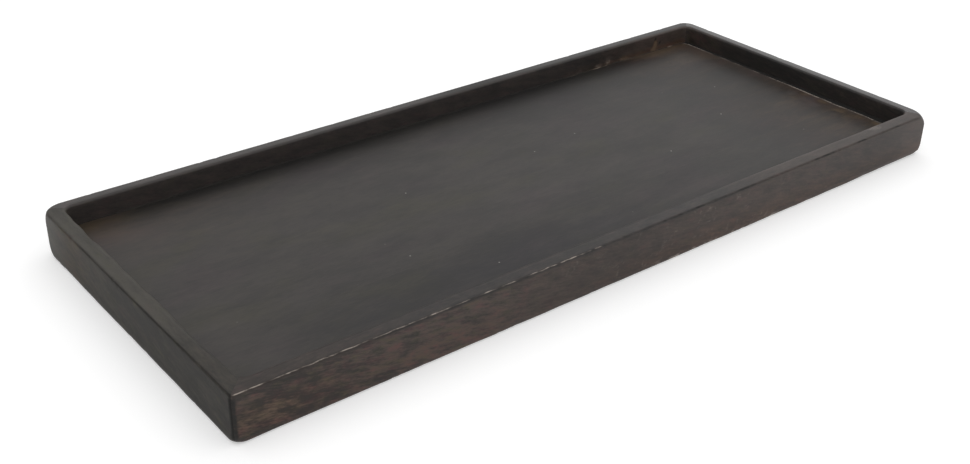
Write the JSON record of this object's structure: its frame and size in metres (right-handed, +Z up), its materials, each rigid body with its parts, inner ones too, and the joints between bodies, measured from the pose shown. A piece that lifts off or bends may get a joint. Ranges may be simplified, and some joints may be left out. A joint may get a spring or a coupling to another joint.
{
  "type": "serving tray",
  "caption": "Long low-rimmed serving tray of dark-stained wood: mitred, grooved rails with rounded arrises hold an edge-glued panel set above the underside",
  "frame": {"origin": "middle of the underside, on the surface that the tray stands on", "axes": "+X along the length, +Y from front to back, +Z up; the crisp front corners are at -Y"},
  "size_m": [0.45, 0.192, 0.025],
  "materials": {
    "rail_wood": "dark charcoal-brown stain, satin, worn through along the front arris",
    "panel_wood": "dark charcoal-brown stain, satin, fine grain along the length",
    "pin_steel": "bright drawn wire"
  },
  "bodies": {
    "root": {"front_rail": "rail_wood", "back_rail": "rail_wood", "left_rail": "rail_wood", "right_rail": "rail_wood", "panel_board_1": "panel_wood", "panel_board_2": "panel_wood", "panel_board_3": "panel_wood", "panel_board_4": "panel_wood", "corner_pin_front_left_lower": "pin_steel", "corner_pin_front_left_upper": "pin_steel", "corner_pin_front_right_lower": "pin_steel", "corner_pin_front_right_upper": "pin_steel", "corner_pin_back_left_lower": "pin_steel", "corner_pin_back_left_upper": "pin_steel", "corner_pin_back_right_lower": "pin_steel", "corner_pin_back_right_upper": "pin_steel"}
  },
  "joints": []
}
